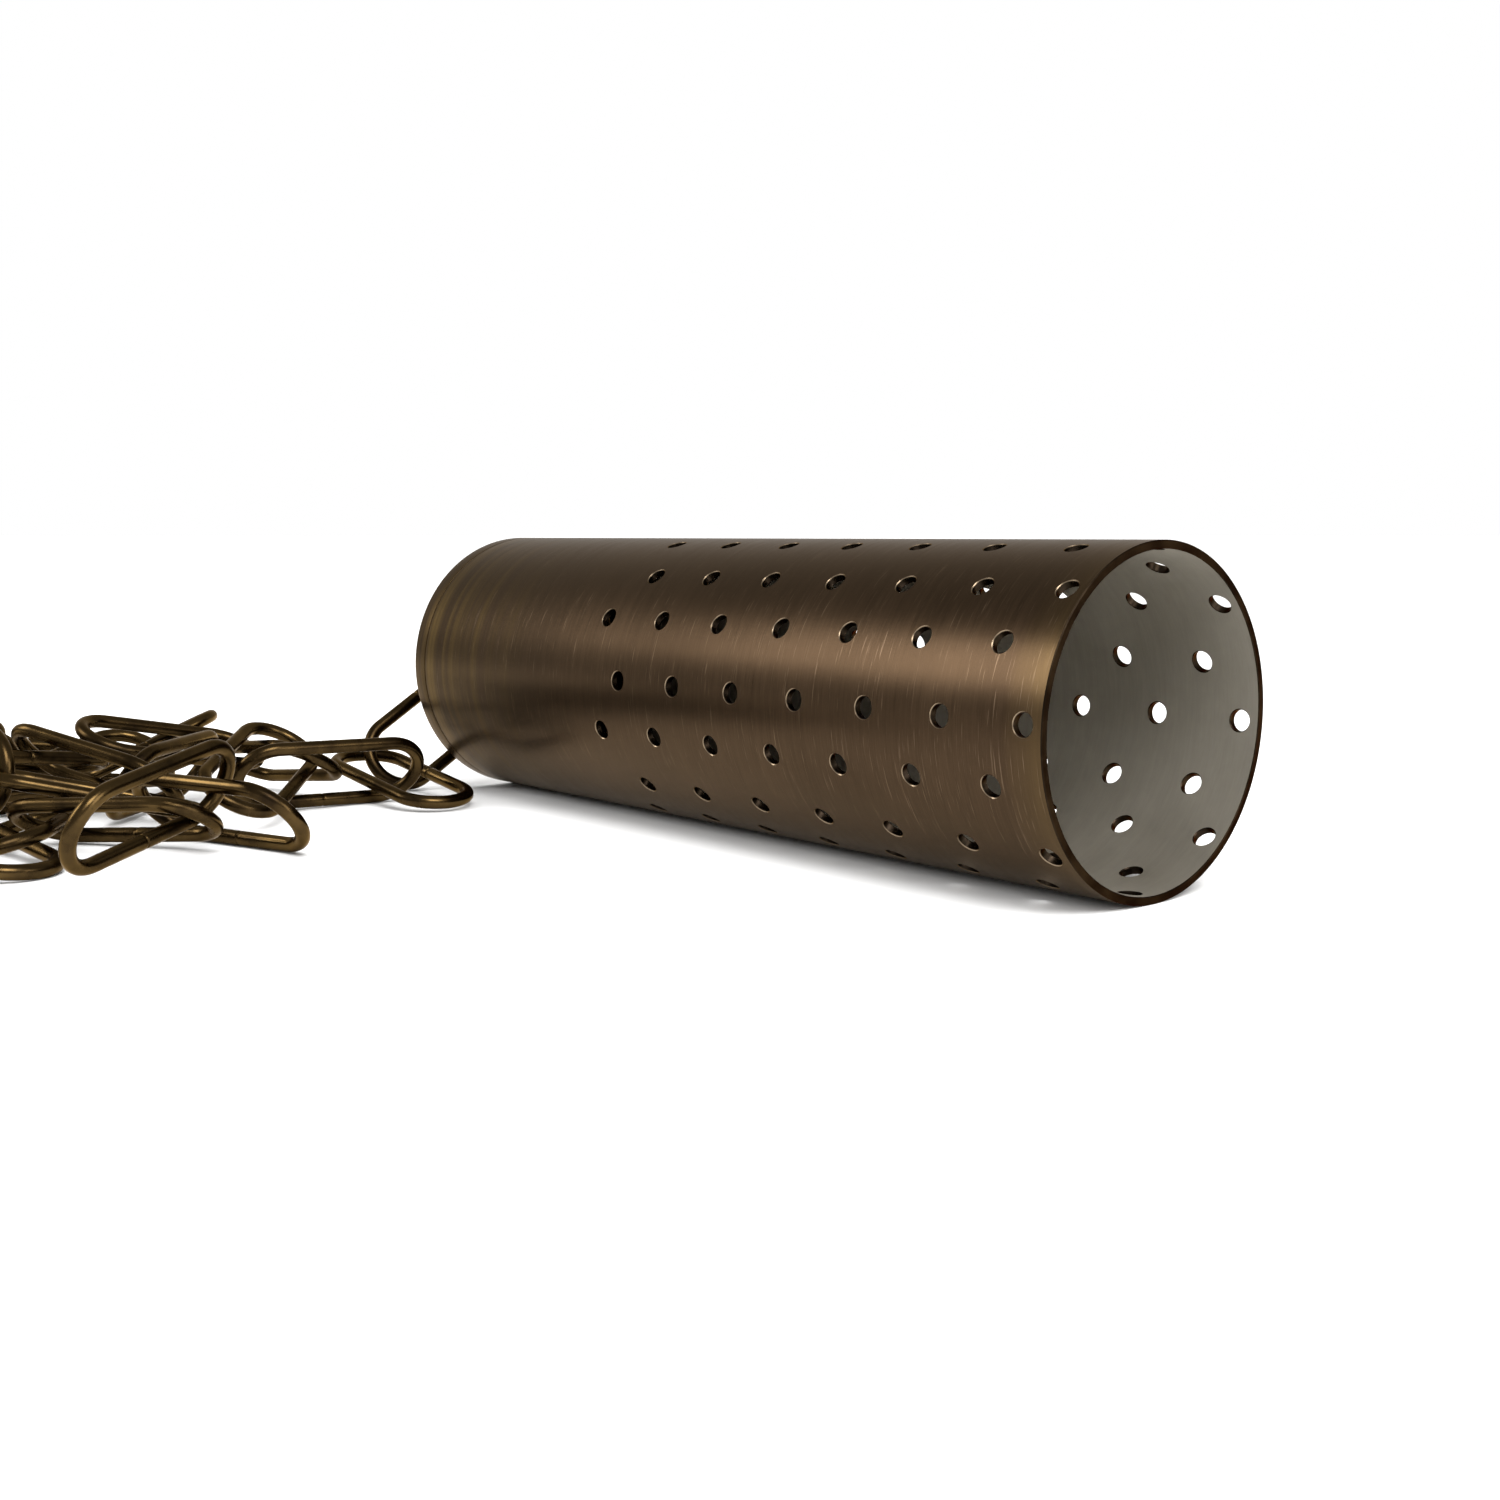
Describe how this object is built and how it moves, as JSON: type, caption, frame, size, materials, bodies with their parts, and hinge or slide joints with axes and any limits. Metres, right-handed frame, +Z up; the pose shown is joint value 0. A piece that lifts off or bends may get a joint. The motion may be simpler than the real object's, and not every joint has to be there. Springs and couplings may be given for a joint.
{
  "type": "perforated metal cylinder on a chain",
  "caption": "Perforated bronze cylinder, open at one end and capped at the other, lying on its side with a long-link chain heaped beside its cap.",
  "frame": {"origin": "middle of the assembly's footprint on the table, at table height", "axes": "+X along the tube from its cap to its open mouth, +Y across the table from the chain to the tube, +Z up"},
  "size_m": [0.2138, 0.2814, 0.0508],
  "materials": {
    "tube_bronze": "dark antiqued bronze, brushed around, pale inside",
    "chain_brass": "antiqued brass, satin",
    "fixing_steel": "plain steel"
  },
  "bodies": {
    "cylinder": {"perforated_tube": "tube_bronze", "end_cap": "tube_bronze", "outer_washer": "chain_brass", "eye_bolt": "chain_brass", "inner_washer": "fixing_steel", "lock_nut": "fixing_steel"},
    "first_link": {"chain_link_01": "chain_brass"},
    "second_link": {"chain_link_02": "chain_brass"},
    "third_link": {"chain_link_03": "chain_brass"},
    "heap": {"chain_link_04": "chain_brass", "chain_link_05": "chain_brass", "chain_link_06": "chain_brass", "chain_link_07": "chain_brass", "chain_link_08": "chain_brass", "chain_link_09": "chain_brass", "chain_link_10": "chain_brass", "chain_link_11": "chain_brass", "chain_link_12": "chain_brass", "chain_link_13": "chain_brass", "chain_link_14": "chain_brass", "chain_link_15": "chain_brass", "chain_link_16": "chain_brass", "chain_link_17": "chain_brass", "chain_link_18": "chain_brass", "chain_link_19": "chain_brass", "chain_link_20": "chain_brass", "chain_link_21": "chain_brass", "chain_link_22": "chain_brass", "chain_link_23": "chain_brass", "chain_link_24": "chain_brass"},
    "trail_1": {"chain_link_25": "chain_brass"},
    "trail_2": {"chain_link_26": "chain_brass"},
    "trail_3": {"chain_link_27": "chain_brass"},
    "trail_4": {"chain_link_28": "chain_brass"},
    "trail_5": {"chain_link_29": "chain_brass"},
    "ring": {"end_ring": "chain_brass"}
  },
  "joints": [
    {"name": "eye_swing", "type": "hinge", "parent": "cylinder", "child": "first_link", "pos_m": [-0.06206, 0.11108, 0.02042], "axis": [-1, 0, 0], "range_deg": [0, 60]},
    {"name": "link_2_lift", "type": "hinge", "parent": "first_link", "child": "second_link", "pos_m": [-0.06332, 0.08136, 0.00724], "axis": [0.05, -0.9986, -0.017], "range_deg": [0, 10]},
    {"name": "link_3_turn", "type": "hinge", "parent": "second_link", "child": "third_link", "pos_m": [-0.0288, 0.08316, 0.00176], "axis": [0.05, -0.9986, -0.017], "range_deg": [0, 24]},
    {"name": "heap_turn", "type": "hinge", "parent": "third_link", "child": "heap", "pos_m": [-0.04589, 0.04886, 0.00731], "axis": [-0.586, 0.047, -0.809], "range_deg": [-30, 6]},
    {"name": "trail_1_turn", "type": "hinge", "parent": "heap", "child": "trail_1", "pos_m": [-0.09506, -0.01774, 0.00606], "axis": [0, 0, 1], "range_deg": [-15, 8]},
    {"name": "trail_2_turn", "type": "hinge", "parent": "trail_1", "child": "trail_2", "pos_m": [-0.09785, -0.04962, 0.00606], "axis": [0, 0, 1], "range_deg": [-25, 8]},
    {"name": "trail_3_turn", "type": "hinge", "parent": "trail_2", "child": "trail_3", "pos_m": [-0.08849, -0.08022, 0.00606], "axis": [0, 0, 1], "range_deg": [-25, 8]},
    {"name": "trail_4_turn", "type": "hinge", "parent": "trail_3", "child": "trail_4", "pos_m": [-0.06835, -0.10509, 0.00606], "axis": [0, 0, 1], "range_deg": [-25, 8]},
    {"name": "trail_5_turn", "type": "hinge", "parent": "trail_4", "child": "trail_5", "pos_m": [-0.04037, -0.1206, 0.00606], "axis": [0, 0, 1], "range_deg": [-25, 8]},
    {"name": "ring_turn", "type": "hinge", "parent": "trail_5", "child": "ring", "pos_m": [-0.00861, -0.1245, 0.00606], "axis": [0, 0, 1], "range_deg": [-10, 10]}
  ]
}
